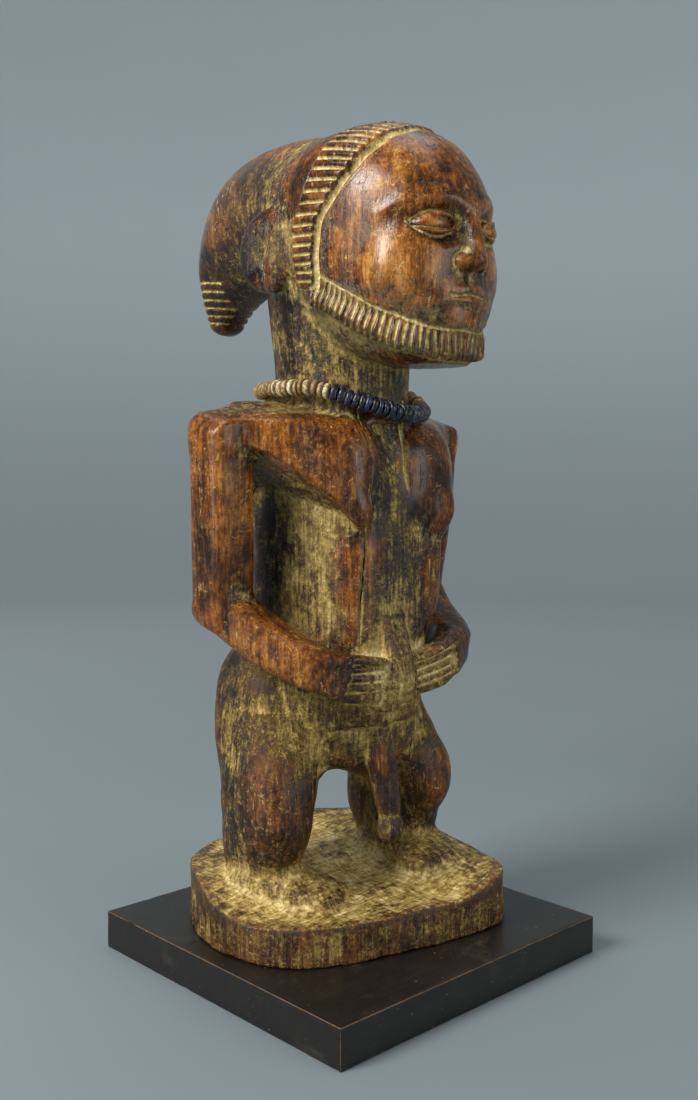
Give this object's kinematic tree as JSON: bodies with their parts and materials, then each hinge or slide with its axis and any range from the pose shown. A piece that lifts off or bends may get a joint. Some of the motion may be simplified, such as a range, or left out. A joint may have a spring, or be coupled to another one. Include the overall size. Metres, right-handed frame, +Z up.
{
  "type": "carved ancestor figure on a plinth",
  "caption": "Standing carved wooden ancestor figure with swept-back coiffure, hands at the belly, bead string and round base, on a square black plinth.",
  "frame": {"origin": "middle of the plinth's underside", "axes": "+Z up, the figure looks along -Y, its left side is +X"},
  "size_m": [0.28, 0.3122, 0.6486],
  "materials": {
    "carved_wood": "aged hardwood with glossy handling patina and dusty ochre crust in the recesses",
    "black_plinth": "satin black stain, worn brown along the edges",
    "pale_beads": "worn cream shell or bone discs",
    "blue_beads": "opaque dark blue glass discs, worn gloss",
    "bead_thread": "twisted plant fibre"
  },
  "bodies": {
    "root": {"figure": "carved_wood", "plinth": "black_plinth", "beads_pale": "pale_beads", "beads_blue": "blue_beads", "thread": "bead_thread"}
  },
  "joints": []
}
